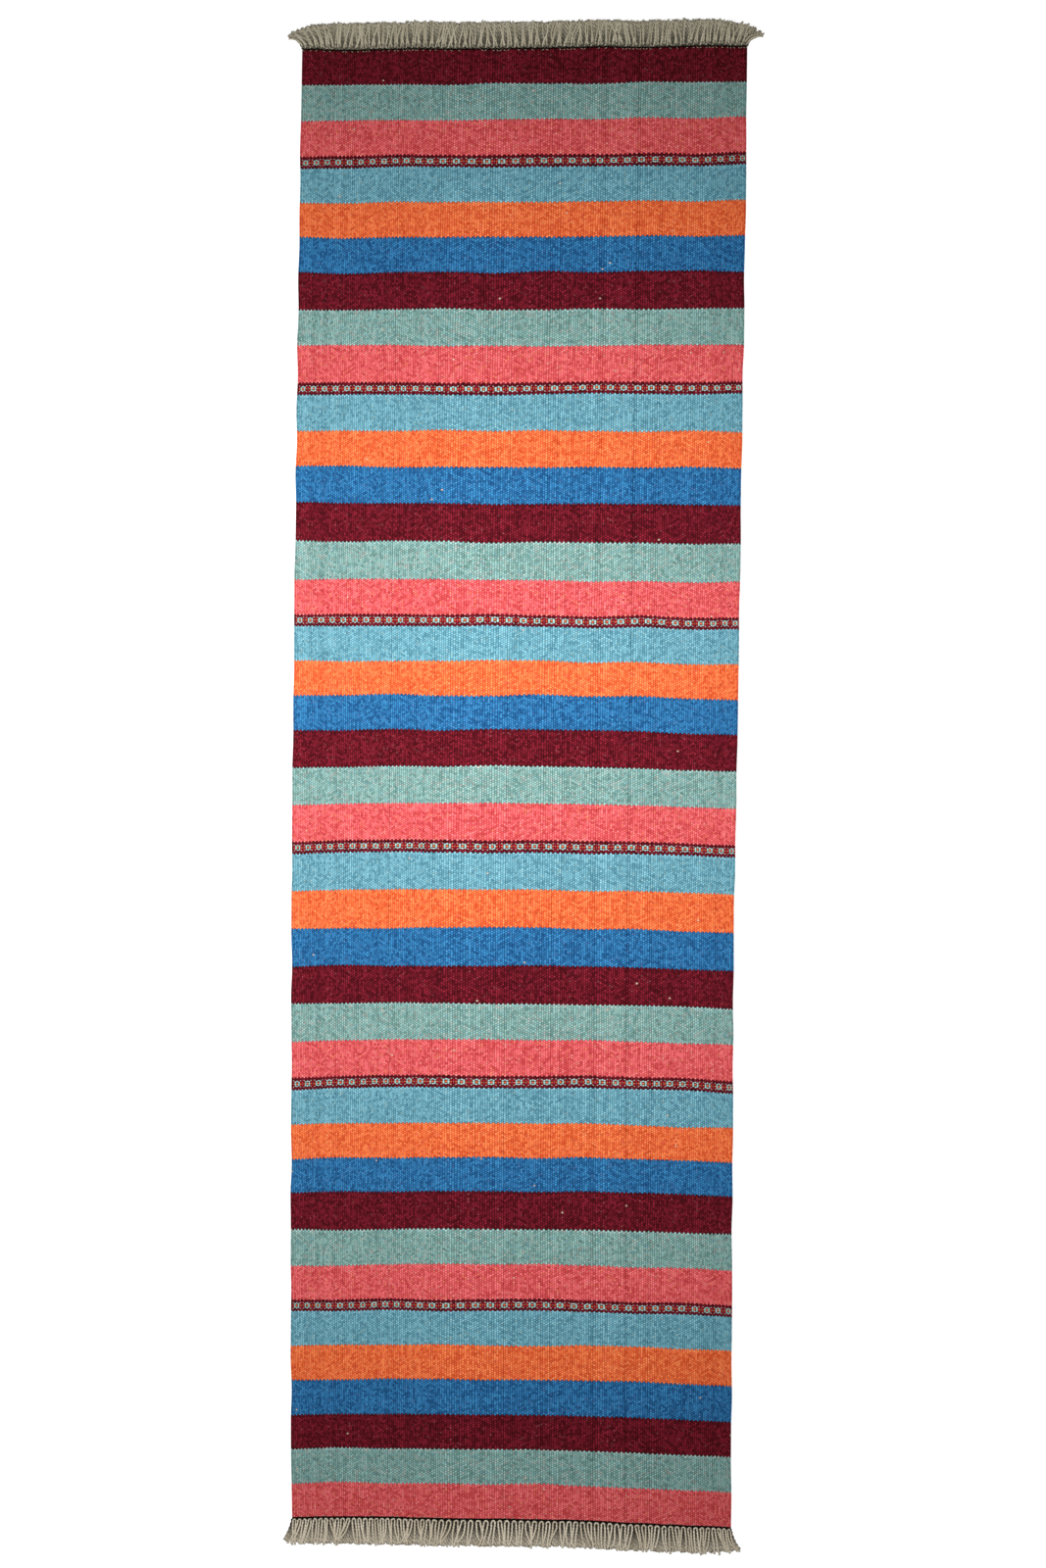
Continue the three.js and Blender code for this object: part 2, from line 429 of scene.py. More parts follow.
def weave_solid(name, first, last, material):
    """The closed mesh of the weft from pick first up to pick last."""
    rows = np.arange(2 * (first - 1), 2 * last + 1)
    top = lattice_points(rows)
    columns, count = top.shape[:2]
    starts = rib_edge(first, STRIP_RIBS) - rows[0]
    ends = rib_edge(last, STRIP_RIBS) - rows[0]
    here = np.arange(count - 1)[None, :]
    mask = (here >= starts[:, None]) & (here < ends[:, None])

    low_rows = np.array([0, 1, 2, count - 3, count - 2, count - 1])
    low = under_points(top[:, low_rows], rows[low_rows])
    low_number = np.full(count, -1)
    low_number[low_rows] = np.arange(len(low_rows))

    def above(j, h):
        return j * count + h

    def below(j, h):
        return columns * count + j * len(low_rows) + low_number[h]

    faces = Faces()
    slit = (KINDS[:-1] == "slit") | (KINDS[1:] == "slit")
    for is_slit in (False, True):
        j, h = np.nonzero(mask & (slit == is_slit)[:, None])
        corners = [above(j, h), above(j, h + 1), above(j + 1, h + 1), above(j + 1, h)]
        faces.add(np.stack(corners, axis=1), smooth=not is_slit)

    inner = (STRIP_RIBS > 0) & (STRIP_RIBS < WARPS - 1)
    for a, b in zip(low_rows[:-1], low_rows[1:], strict=True):
        j = np.nonzero(mask[:, a] & inner)[0]
        corners = [below(j, a), below(j + 1, a), below(j + 1, b), below(j, b)]
        faces.add(np.stack(corners, axis=1))

    def wall(j, h, dj_a, dh_a, dj_b, dh_b):
        a_j, a_h, b_j, b_h = j + dj_a, h + dh_a, j + dj_b, h + dh_b
        corners = [above(b_j, b_h), above(a_j, a_h), below(a_j, a_h), below(b_j, b_h)]
        faces.add(np.stack(corners, axis=1), smooth=False)

    padded = np.pad(mask, 1)
    core = padded[1:-1, 1:-1]
    capped = inner[:, None]
    wall(*np.nonzero(core & ~padded[1:-1, :-2] & capped), 1, 0, 0, 0)
    wall(*np.nonzero(core & ~padded[1:-1, 2:] & capped), 0, 1, 1, 1)
    strip_number = np.arange(columns - 1)[:, None]
    past_first = strip_number > 0
    before_last = strip_number < columns - 2
    wall(*np.nonzero(core & ~padded[:-2, 1:-1] & past_first), 0, 0, 0, 1)
    wall(*np.nonzero(core & ~padded[2:, 1:-1] & before_last), 1, 1, 1, 0)

    # The outer ribs' ends, and the strip of underside beside each of them.
    far = columns - 1
    outer_ribs = ((0, WRAP_COLUMNS, 0), (WARPS - 1, far - WRAP_COLUMNS, far))
    for rib, valley, outer in outer_ribs:
        start = int(rib_edge(first, rib) - rows[0])
        end = int(rib_edge(last, rib) - rows[0])
        chain = np.arange(min(valley, outer), max(valley, outer) + 1)
        seam = low_rows[(low_rows >= start) & (low_rows <= end)]
        run = np.arange(start, end + 1)
        faces.add([*above(chain, start), below(valley, start)], smooth=False)
        faces.add([*above(chain[::-1], end), below(valley, end)], smooth=False)
        if rib == 0:
            faces.add([*above(outer, run[::-1]), *below(valley, seam)])
        else:
            faces.add([*above(outer, run), *below(valley, seam[::-1])])

    c = np.repeat(shader_columns()[:, None], count, axis=1)
    r = np.repeat(rows[None, :] / 2, columns, axis=0)
    points = np.concatenate([top.reshape(-1, 3), low.reshape(-1, 3)])
    tables = {
        "weave": np.stack([c, r, 0 * r], axis=-1),
        "edges": np.stack([r - first, last - r, 0 * r], axis=-1),
    }
    attributes = {
        label: np.concatenate([table.reshape(-1, 3), table[:, low_rows].reshape(-1, 3)])
        for label, table in tables.items()
    }
    return make_mesh(name, points, faces, [material], attributes)


# ---- materials


class Wire:
    """A node's output, which sums and products join into more nodes."""

    def __init__(self, tree, socket):
        self.tree, self.socket = tree, socket

    def put(self, operation, *others):
        node = self.tree.nodes.new("ShaderNodeMath")
        node.operation = operation
        for slot, value in zip(node.inputs, (self, *others), strict=False):
            feed(self.tree, slot, value)
        return Wire(self.tree, node.outputs[0])

    def __add__(self, other):
        return self.put("ADD", other)

    def __sub__(self, other):
        return self.put("SUBTRACT", other)

    def __mul__(self, other):
        return self.put("MULTIPLY", other)

    def __truediv__(self, other):
        return self.put("DIVIDE", other)

    def floor(self):
        return self.put("FLOOR")

    def fraction(self):
        return self.put("FRACT")

    def power(self, exponent):
        return self.put("POWER", exponent)

    def wave(self):
        """The sine of pi times the value, for a hump over each unit."""
        return (self * math.pi).put("SINE").put("ABSOLUTE")

    def over(self, limit):
        return self.put("GREATER_THAN", limit)

    def map(self, low, high, to_low=0.0, to_high=1.0):
        node = self.tree.nodes.new("ShaderNodeMapRange")
        feed(self.tree, node.inputs[0], self)
        for slot, value in zip(node.inputs[1:5], (low, high, to_low, to_high), strict=True):
            slot.default_value = value
        return Wire(self.tree, node.outputs[0])


def feed(tree, slot, value):
    """Links a wire to a socket, or sets the socket to a plain value."""
    if isinstance(value, Wire):
        tree.links.new(value.socket, slot)
    else:
        slot.default_value = value


def srgb(red, green, blue):
    """A linear colour from 8-bit sRGB numbers."""

    def linear(level):
        share = level / 255
        return share / 12.92 if share <= 0.04045 else ((share + 0.055) / 1.055) ** 2.4

    return (linear(red), linear(green), linear(blue), 1.0)


def new_material(name):
    """A material, its node tree and its Principled shader."""
    material = bpy.data.materials.new(name)
    material.use_nodes = True
    tree = material.node_tree
    return material, tree, tree.nodes["Principled BSDF"]


def attribute_parts(tree, label):
    """The three parts of a vector attribute."""
    node = tree.nodes.new("ShaderNodeAttribute")
    node.attribute_name = label
    split = tree.nodes.new("ShaderNodeSeparateXYZ")
    tree.links.new(node.outputs["Vector"], split.inputs[0])
    return [Wire(tree, output) for output in split.outputs]


def combine(tree, x, y, z):
    node = tree.nodes.new("ShaderNodeCombineXYZ")
    for slot, value in zip(node.inputs, (x, y, z), strict=True):
        feed(tree, slot, value)
    return Wire(tree, node.outputs[0])


def random_of(tree, x, y, seed):
    """A random number from 0 to 1 for each whole x and y."""
    node = tree.nodes.new("ShaderNodeTexWhiteNoise")
    node.noise_dimensions = "3D"
    feed(tree, node.inputs["Vector"], combine(tree, x, y, seed))
    return Wire(tree, node.outputs["Value"])


def cloud(tree, vector, scale, detail=2.0, roughness=0.5):
    """Smooth noise from 0 to 1."""
    node = tree.nodes.new("ShaderNodeTexNoise")
    feed(tree, node.inputs["Vector"], vector)
    node.inputs["Scale"].default_value = scale
    node.inputs["Detail"].default_value = detail
    node.inputs["Roughness"].default_value = roughness
    return Wire(tree, node.outputs["Fac"])


def object_place(tree):
    node = tree.nodes.new("ShaderNodeTexCoord")
    return Wire(tree, node.outputs["Object"])


def ramp(tree, factor, stops, constant=False):
    """A colour ramp through (place, colour) stops."""
    node = tree.nodes.new("ShaderNodeValToRGB")
    feed(tree, node.inputs[0], factor)
    node.color_ramp.interpolation = "CONSTANT" if constant else "LINEAR"
    elements = node.color_ramp.elements
    while len(elements) < len(stops):
        elements.new(1.0)
    for element, (place, colour) in zip(elements, stops, strict=True):
        element.position, element.color = place, colour
    return Wire(tree, node.outputs[0])


def blend_colours(tree, factor, first, second, mode="MIX"):
    node = tree.nodes.new("ShaderNodeMix")
    node.data_type, node.blend_type = "RGBA", mode
    feed(tree, node.inputs[0], factor)
    feed(tree, node.inputs[6], first)
    feed(tree, node.inputs[7], second)
    return Wire(tree, node.outputs[2])


def add_bump(tree, shader, height, strength, distance):
    node = tree.nodes.new("ShaderNodeBump")
    node.inputs["Strength"].default_value = strength
    node.inputs["Distance"].default_value = distance
    feed(tree, node.inputs["Height"], height)
    tree.links.new(node.outputs["Normal"], shader.inputs["Normal"])


def softening(level):
    """The power that shade is raised to where the colour reflects a share of light."""
    return 1.2 - 0.95 * level**0.6


def tones(colour, dark, light):
    """Darker and lighter versions of a colour, for a ramp."""
    shade = tuple(level * dark ** softening(level) for level in colour[:3])
    tint = tuple(min(level * light ** softening(level), 1.0) for level in colour[:3])
    return [(0.0, (*shade, 1.0)), (0.5, colour), (1.0, (*tint, 1.0))]


def even_steps(colours):
    """Stops that give each colour the same share of a ramp."""
    return [(i / len(colours), colour) for i, colour in enumerate(colours)]


def upward(tree, kind):
    """The upward part of a surface's normal: kind is Normal or True Normal."""
    side = tree.nodes.new("ShaderNodeNewGeometry")
    split = tree.nodes.new("ShaderNodeSeparateXYZ")
    tree.links.new(side.outputs[kind], split.inputs[0])
    return Wire(tree, split.outputs["Z"])


def shade_colour(tree, shade, colour):
    """A multiplier for shade, which bounced light softens in the colour's bright parts."""
    return combine(tree, *[shade.power(softening(level)) for level in colour[:3]])


KNOT_COLOUR = srgb(214, 190, 168)
KNOT_SHARE = 0.0005


def weft_material(name, colour, dark, light, flecks, fleck_share, rim, fleck_strength=0.5):
    """Weft-faced wool: beads of yarn with their own tones, with painted shade between the ribs
    and beads and a painted highlight on their crests.

    dark and light are the darkest and lightest beads' shares of the colour. Stray
    fibre in the flecks' colours shows on fleck_share of the beads. rim scales the
    first beads of a band, where they meet their neighbours: a painted highlight
    where rim is above 1, painted shade where it is below 1.
    """
    material, tree, shader = new_material(name)
    c, r, _ = attribute_parts(tree, "weave")
    from_head, from_foot, _ = attribute_parts(tree, "edges")
    rib = c.floor()
    bead_count = (r - rib) / 2 + 0.5
    bead = bead_count.floor()
    pick = rib + bead * 2
    across = c.fraction()
    along = bead_count.fraction()

    own = random_of(tree, rib, bead, 1.5)
    streak = cloud(tree, combine(tree, c * 0.12, pick * 7.31, 2.5), 1.0, 1.0)
    place = object_place(tree)
    mottle = cloud(tree, place, 34.0, 3.0)
    fibre_place = combine(tree, c * 2.6 + r * 0.7, r * 5.2, 4.5)
    fibre = cloud(tree, fibre_place, 1.6, 4.0, 0.65)
    tone = own * 0.9 + streak * 0.25 + mottle * 0.2 + fibre * 0.7 - 0.525
    hue = ramp(tree, tone, tones(colour, dark, light))

    stray = random_of(tree, rib, bead, 6.5).over(1 - fleck_share)
    amount = random_of(tree, rib, bead, 8.5).map(0.0, 1.0, 0.35, 1.0) * fleck_strength
    choice = random_of(tree, rib, bead, 7.5)
    fleck = ramp(tree, choice, even_steps(flecks), constant=True)
    hump = along.wave().power(0.8)
    hue = blend_colours(tree, stray * amount * hump, hue, fleck)
    knot = random_of(tree, rib, bead, 3.5).over(1 - KNOT_SHARE)
    hue = blend_colours(tree, knot * hump * 0.7, hue, KNOT_COLOUR)

    # Painted shade: the colour is darkened in the valleys between ribs, more in a few random
    # valleys, and in the grooves between beads. The ribs' crests and the beads' middles are
    # painted lighter as a painted highlight. line is a random tone of each rib.
    deep = random_of(tree, c.put("ROUND"), 0.0, 5.5).map(0.7, 1.0, 0.0, 0.22)
    rise = across.wave().power(0.8)
    valley = rise.map(0.0, 1.0, 0.06, 1.28) - deep * (rise * -1.0 + 1.0)
    line = random_of(tree, rib, 0.0, 2.5).map(0.0, 1.0, 0.87, 1.13)
    # A band's first beads are scaled by rim: a painted highlight along the band's edge where rim
    # is above 1, painted shade where it is below 1.
    off_centre = pick - r
    head_gap = from_head + off_centre
    foot_gap = from_foot - off_centre
    first_bead = head_gap.put("MINIMUM", foot_gap).put("LESS_THAN", 1.5)
    shade = valley * line * hump.map(0.0, 1.0, 0.38, 1.16) * first_bead.map(0.0, 1.0, 1.0, rim)
    hue = blend_colours(tree, 1.0, hue, shade_colour(tree, shade, colour), "MULTIPLY")
    feed(tree, shader.inputs["Base Color"], hue)

    feed(tree, shader.inputs["Roughness"], fibre.map(0.2, 0.8, 0.82, 0.98))
    shader.inputs["Specular IOR Level"].default_value = 0.1
    underside = upward(tree, "True Normal").map(0.2, -0.2)
    relief = rise * hump * underside * 2.0
    add_bump(tree, shader, fibre + own * 0.3 + relief, 0.45, 0.35 * MM)
    return material


# Each weft's rim paints its band's first beads: painted shade below 1, a painted highlight above
# 1.
WEFTS = {
    "maroon": {
        "colour": srgb(107, 20, 34),
        "dark": 0.42,
        "light": 1.75,
        "flecks": [srgb(158, 44, 58), srgb(50, 11, 19), srgb(140, 76, 80)],
        "fleck_share": 0.1,
        "rim": 0.75,
    },
    "sage": {
        "colour": srgb(136, 175, 169),
        "dark": 0.5,
        "light": 1.35,
        "flecks": [
            srgb(186, 190, 184),
            srgb(186, 166, 160),
            srgb(110, 160, 176),
            srgb(84, 104, 100),
            srgb(170, 150, 146),
        ],
        "fleck_share": 0.4,
        "fleck_strength": 0.55,
        "rim": 1.3,
    },
    "coral": {
        "colour": srgb(227, 98, 101),
        "dark": 0.45,
        "light": 1.6,
        "flecks": [srgb(242, 146, 104), srgb(170, 40, 60), srgb(236, 160, 150)],
        "fleck_share": 0.22,
        "rim": 1.1,
    },
    "sky": {
        "colour": srgb(114, 171, 187),
        "dark": 0.5,
        "light": 1.45,
        "flecks": [srgb(150, 196, 204), srgb(64, 112, 146), srgb(160, 180, 170)],
        "fleck_share": 0.16,
        "rim": 1.25,
    },
    "orange": {
        "colour": srgb(241, 118, 67),
        "dark": 0.45,
        "light": 1.6,
        "flecks": [srgb(248, 162, 110), srgb(176, 80, 54), srgb(232, 96, 84)],
        "fleck_share": 0.2,
        "rim": 1.08,
    },
    "blue": {
        "colour": srgb(47, 115, 168),
        "dark": 0.45,
        "light": 1.6,
        "flecks": [srgb(72, 150, 194), srgb(26, 66, 116), srgb(90, 120, 170)],
        "fleck_share": 0.2,
        "rim": 0.9,
    },
}


def yarn_material(name, colour, dark, light, painted_pile_shade=0.0):
    """Plied yarn, painted darker by painted_pile_shade at the bottom of the pile, except at its
    tips, with painted shade on each strand's sides and a faint painted highlight along its top.
    """
    material, tree, shader = new_material(name)
    along, own, layer = attribute_parts(tree, "strand")
    place = object_place(tree)
    fibre = cloud(tree, place, 900.0, 4.0, 0.7)
    mottle = cloud(tree, place, 90.0, 2.0)
    tone = own * 0.6 + fibre * 0.2 + mottle * 0.5 - 0.15
    hue = ramp(tree, tone, tones(colour, dark, light))
    # Painted shade: strands low in the pile are darkened, less towards their tips.
    buried = layer * -1.0 + 1.0
    shade = buried * along.map(0.3, 0.85, painted_pile_shade, 0.3 * painted_pile_shade) * -1.0 + 1.0
    # Painted shade on the sides of each strand, where its normal leans away from up, and a faint
    # painted highlight along its top.
    shade = shade * upward(tree, "Normal").put("ABSOLUTE").map(0.2, 0.95, 0.12, 1.12)
    hue = blend_colours(tree, 1.0, hue, combine(tree, shade, shade, shade), "MULTIPLY")
    feed(tree, shader.inputs["Base Color"], hue)
    feed(tree, shader.inputs["Roughness"], fibre.map(0.2, 0.8, 0.8, 0.98))
    shader.inputs["Specular IOR Level"].default_value = 0.1
    add_bump(tree, shader, fibre, 0.25, 0.3 * MM)
    return material


# ---- yarns


class Yarns:
    """Strands of yarn gathered for one mesh.

    Each point's strand attribute holds its share of the way to the strand's tip, a
    random number of the strand's own, and how high in the pile the strand lies,
    which sets how much painted shade the yarn material gives it.
    """

    def __init__(self):
        self.points, self.values, self.faces = [], [], Faces()
        self.total = 0

    def add_points(self, points, share, own, layer):
        """Adds a table of points and returns their numbers."""
        shape = points.shape[:-1]
        values = [np.broadcast_to(value, shape) for value in (share, own, layer)]
        self.points.append(points.reshape(-1, 3))
        self.values.append(np.stack(values, axis=-1).reshape(-1, 3))
        numbers = self.total + np.arange(points.size // 3).reshape(shape)
        self.total += points.size // 3
        return numbers

    def add_tubes(self, tubes, share, own, layer, slot=0):
        """Adds closed tubes from a table of strands, their rings and the rings' points.

        The points of a ring go clockwise as seen from the tube's start.
        """
        number = self.add_points(tubes, share, own, layer)
        turned = np.roll(number, -1, axis=2)
        corners = [number[:, :-1], number[:, 1:], turned[:, 1:], turned[:, :-1]]
        self.faces.add(np.stack(corners, axis=-1).reshape(-1, 4), slot=slot)
        self.faces.add(number[:, 0], smooth=False, slot=slot)
        self.faces.add(number[:, -1, ::-1], smooth=False, slot=slot)

    def add_plied(
        self, paths, radius, turn, phases, own, layer, *, share=None, plies=3, sides=6, slot=0
    ):
        """Adds twisted strands that follow paths, a table of strands, steps and xyz.

        radius is the whole strand's, and turn the length of one turn of its plies.
        The plies fray in the last part of the way to the tip.
        """
        run = np.linalg.norm(np.diff(paths, axis=1), axis=2)
        length = np.concatenate([0 * run[:, :1], np.cumsum(run, axis=1)], axis=1)
        tangent = np.gradient(paths, axis=1)
        tangent /= np.linalg.norm(tangent, axis=2, keepdims=True)
        across = np.cross(tangent, [0.0, 0.0, 1.0])
        across /= np.linalg.norm(across, axis=2, keepdims=True)
        up = np.cross(across, tangent)
        if share is None:
            share = length / length[:, -1:]
        frayed = np.clip((share - FRAY_START) / (1 - FRAY_START), 0, 1) ** 2
        ply_radius = radius * (0.6 if plies == 2 else 0.62)
        spread = (radius - ply_radius) * (1 + 0.5 * frayed)
        thick = ply_radius * (1 - 0.2 * frayed)
        ring = np.arange(sides) * FULL_TURN / sides
        rim = np.cos(ring)[:, None] * across[:, :, None] + np.sin(ring)[:, None] * up[:, :, None]
        for ply in range(plies):
            angle = FULL_TURN * (length / turn + ply / plies) + phases[:, None]
            offset = np.cos(angle)[..., None] * across + np.sin(angle)[..., None] * up
            middle = paths + spread[..., None] * offset
            tubes = middle[:, :, None] + thick[..., None, None] * rim
            self.add_tubes(tubes, share[..., None], own[:, None, None], layer, slot)

    def make(self, name, materials):
        points = np.concatenate(self.points)
        points[:, 2] = np.maximum(points[:, 2], LOWEST_YARN_HEIGHT)
        values = np.concatenate(self.values)
        return make_mesh(name, points, self.faces, materials, {"strand": values})


def walk(start, angles, length, away):
    """Paths from start whose heading turns by angles; away is +1 or -1 along y."""
    ahead = np.stack([np.sin(angles), away * np.cos(angles)], axis=-1)
    step = (length / angles.shape[1])[:, None, None]
    first = start[:, None]
    return np.concatenate([first, first + np.cumsum(ahead * step, axis=1)], axis=1)


def bunch_roots(away):
    """Where the warps of each bunch leave the cloth, and how wide the bunch is."""
    r = 0.0 if away > 0 else float(ALL_PICKS)
    edges = np.arange(BUNCHES + 1) * WARPS_PER_BUNCH
    x, y, z = cloth_point(edges, r + 0 * edges)
    middle_x = (x[1:] + x[:-1]) / 2
    middle_y = (y[1:] + y[:-1]) / 2
    return middle_x, middle_y, (z[1:] + z[:-1]) / 2, np.diff(x)


def bunch_leans(rng, corner, power, cells, sway, own):
    """How far each bunch leans: a smooth part, and a part of the bunch's own.

    The bunches fan out at the corners, and neighbours sway much the same way.
    """
    u = 2 * (np.arange(BUNCHES) + 0.5) / BUNCHES - 1
    fan = corner * np.sign(u) * np.abs(u) ** power
    smooth = fan + sway * soft_noise(rng, cells, 1)((u + 1) / 2, 0.5 + 0 * u)
    return smooth, rng.normal(0, own, BUNCHES)


def strand_angles(rng, lean, stray, bend):
    """The heading of each strand at each step, as an angle from the rug's length."""
    share = (np.arange(STRAND_STEPS) + 0.5) / STRAND_STEPS
    table = (BUNCHES, 1)
    drift = rng.normal(0, stray, table) * share
    waves = rng.uniform(0.5, 1.1, table) * share + rng.uniform(0, 1, table)
    ripple = rng.normal(0, bend, table) * np.sin(FULL_TURN * waves)
    return lean[:, None] * (0.35 + 1.15 * share) + drift + ripple


def under_strands(yarns, rng, away, lean, root_gap, outer_layer):
    """The strands at the bottom of the pile, which fill the gaps of the upper ones.

    outer_layer is how high in the pile the outer two of each bunch's four count, which sets how
    dark their painted shade is; the inner two count half as high.
    """
    x, y, stand, width = bunch_roots(away)
    bunch = np.arange(BUNCHES)
    for offset in (-0.375, -0.125, 0.125, 0.375):
        here = np.interp(bunch + offset, bunch, lean)
        angles = strand_angles(rng, here, np.radians(1.5), np.radians(1.5))
        length = FRINGE_LENGTH - root_gap - 0.3 + rng.normal(0, 0.8, BUNCHES)
        length = length - SHORTER_PER_RADIAN * np.abs(here)
        start = np.stack([x + offset * width, y + away * root_gap], axis=1)
        flat = walk(start, angles, length, away)
        height = UNDER_STRAND_RADIUS + stand + rng.uniform(0, 0.2, BUNCHES)
        height = np.repeat(height[:, None, None], STRAND_STEPS + 1, axis=1)
        yarns.add_plied(
            np.concatenate([flat, height], axis=2),
            UNDER_STRAND_RADIUS,
            STRAND_TURN,
            rng.uniform(0, FULL_TURN, BUNCHES),
            rng.uniform(0, 1, BUNCHES),
            layer=outer_layer if abs(offset) > 0.2 else 0.5 * outer_layer,
            plies=2,
            sides=5,
        )


# The upper strands of each bunch of the head fringe: where they start across the
# bunch, the angles that they open by and stray by, and their height at the start.
HEAD_STRANDS = ((0.5, 0, 12, 2.0), (-0.18, -10, 9, 2.5), (0.18, 10, 9, 2.8))


def head_fringe(material):
    """Bunches of strands that open in a V from their root, over more strands."""
    rng = np.random.default_rng(SEED + 1)
    x, y, stand, width = bunch_roots(1)
    lean, own_lean = bunch_leans(
        rng, corner=np.radians(62), power=14, cells=16, sway=np.radians(8), own=np.radians(8)
    )
    yarns = Yarns()
    under_strands(yarns, rng, 1, lean, root_gap=1.5, outer_layer=0.32)
    share = np.linspace(0, 1, STRAND_STEPS + 1)
    for offset, opening, stray, start_height in HEAD_STRANDS:
        angles = strand_angles(rng, lean + own_lean, np.radians(stray), np.radians(7))
        angles = angles + np.radians(opening) * (1 - share[1:]) ** 1.5
        length = FRINGE_LENGTH - HEAD_ROOT_GAP + rng.normal(0, 1.0, BUNCHES)
        length = length - SHORTER_PER_RADIAN * np.abs(lean)
        start = np.stack([x + offset * width, y + HEAD_ROOT_GAP], axis=1)
        flat = walk(start, angles, length, 1)
        rise = (4.0 - start_height) * smooth_step(0, 0.4, share)
        rise = rise - 0.7 * smooth_step(0.6, 1, share)
        uneven = rng.uniform(-0.6, 0.6, (BUNCHES, 1)) * smooth_step(0.1, 0.5, share)
        height = stand[:, None] + start_height + rise + uneven
        # Strands that start lower count 0.8 in the pile, for a little painted shade.
        yarns.add_plied(
            np.concatenate([flat, height[..., None]], axis=2),
            STRAND_RADIUS,
            STRAND_TURN,
            rng.uniform(0, FULL_TURN, BUNCHES),
            rng.uniform(0, 1, BUNCHES),
            layer=1.0 if start_height > 2 else 0.8,
        )
    return yarns.make("fringe_yarn_head", [material])


def foot_fringe(material):
    """Doubled warps whose loops show at the root, over more strands."""
    rng = np.random.default_rng(SEED + 2)
    x, y, stand, width = bunch_roots(-1)
    lean, own_lean = bunch_leans(
        rng, corner=np.radians(26), power=9, cells=15, sway=np.radians(7), own=np.radians(6)
    )
    own_lean += np.radians(26) * rng.choice([-1, 0, 1], BUNCHES, p=[0.04, 0.91, 0.05])
    yarns = Yarns()
    # The foot's under strands count lowest in the pile, for the darkest painted shade.
    under_strands(yarns, rng, -1, lean, root_gap=3.0, outer_layer=0.0)
    radius = 0.27 * width

    def leg(side):
        angles = strand_angles(rng, lean + own_lean, np.radians(7), np.radians(6))
        length = FRINGE_LENGTH - FOOT_ROOT_GAP - radius - 0.5 + rng.normal(0, 1.4, BUNCHES)
        start = np.stack([x + side * radius, y - FOOT_ROOT_GAP - radius], axis=1)
        return walk(start, angles, length, -1)

    turn = np.linspace(np.pi, 0, 8)[1:-1]
    arch_x = x[:, None] + radius[:, None] * np.cos(turn)
    arch_y = y[:, None] - FOOT_ROOT_GAP - radius[:, None] * (1 - np.sin(turn))
    arch = np.stack([arch_x, arch_y], axis=-1)
    flat = np.concatenate([leg(-1)[:, ::-1], arch, leg(1)], axis=1)
    down = np.linspace(0, 1, STRAND_STEPS + 1)
    share = np.concatenate([down[::-1], np.zeros(len(turn)), down])
    rise = 0.9 * smooth_step(0, 0.3, share) - 0.9 * smooth_step(0.6, 1, share)
    uneven = rng.uniform(-0.4, 0.4, (BUNCHES, 1)) * smooth_step(0.1, 0.5, share)
    height = stand[:, None] + LOOP_HEIGHT + rise + uneven
    yarns.add_plied(
        np.concatenate([flat, height[..., None]], axis=2),
        LOOP_RADIUS,
        STRAND_TURN,
        rng.uniform(0, FULL_TURN, BUNCHES),
        rng.uniform(0, 1, BUNCHES),
        layer=1.0,
        share=np.repeat(share[None], BUNCHES, axis=0),
    )
    return yarns.make("fringe_yarn_foot", [material])


def end_twining(name, away, dark, pale):
    """A dark cord that zigzags between the bunches, over a straight one. Its dark colour is the
    cord's own and also painted shade, standing in for the shade between the bunches' roots.

    Short pale stitches lie beside them, on the first picks of the weft.
    """
    rng = np.random.default_rng(SEED + 3 + away)
    r = -0.2 if away > 0 else ALL_PICKS + 0.2
    c = np.linspace(0.1, WARPS - 0.1, BUNCHES * 10 + 1)
    x, y, stand = cloth_point(c, r + 0 * c)
    between = np.cos(FULL_TURN * c / WARPS_PER_BUNCH)
    yarns = Yarns()
    uneven = 0.95 + 0.4 * soft_noise(rng, 2 * BUNCHES, 1)(c / WARPS, 0.5 + 0 * c)
    # Each cord's height, its distance from the cloth, its swing, radius and plies.
    cords = ((3.7, 1.3, uneven, 1.05, 2), (1.7, 0.95, 0.0, 1.4, 3))
    phase, tone = np.zeros(1), np.full(1, 0.5)
    for height, out, swing, radius, plies in cords:
        path = np.stack([x, y + away * (out + swing * between), stand + height], axis=1)
        yarns.add_plied(path[None], radius, END_CORD_TURN, phase, tone, 1.0, plies=plies)
    share_shown = 0.55 if away > 0 else 0.15
    shown = np.nonzero(rng.uniform(0, 1, 2 * BUNCHES) < share_shown)[0]
    middle = (shown + 0.5) * WARPS_PER_BUNCH / 2 + rng.normal(0, 0.12, len(shown))
    slant = np.where(shown % 2 == 0, 1, -1) * 0.38
    pieces = []
    for step in np.linspace(-1, 1, 5):
        px, py, pz = cloth_point(middle + slant * step, r + 0 * middle)
        inward = 1.3 + 0.8 * step
        pieces.append(np.stack([px, py - away * inward, pz + 4.1 - 0.4 * step**2], axis=1))
    stitches = np.stack(pieces, axis=1)
    own = rng.uniform(0, 1, len(shown))
    phases = rng.uniform(0, FULL_TURN, len(shown))
    yarns.add_plied(stitches, STITCH_RADIUS, STITCH_TURN, phases, own, 1.0, plies=2, slot=1)
    return yarns.make(name, [dark, pale])


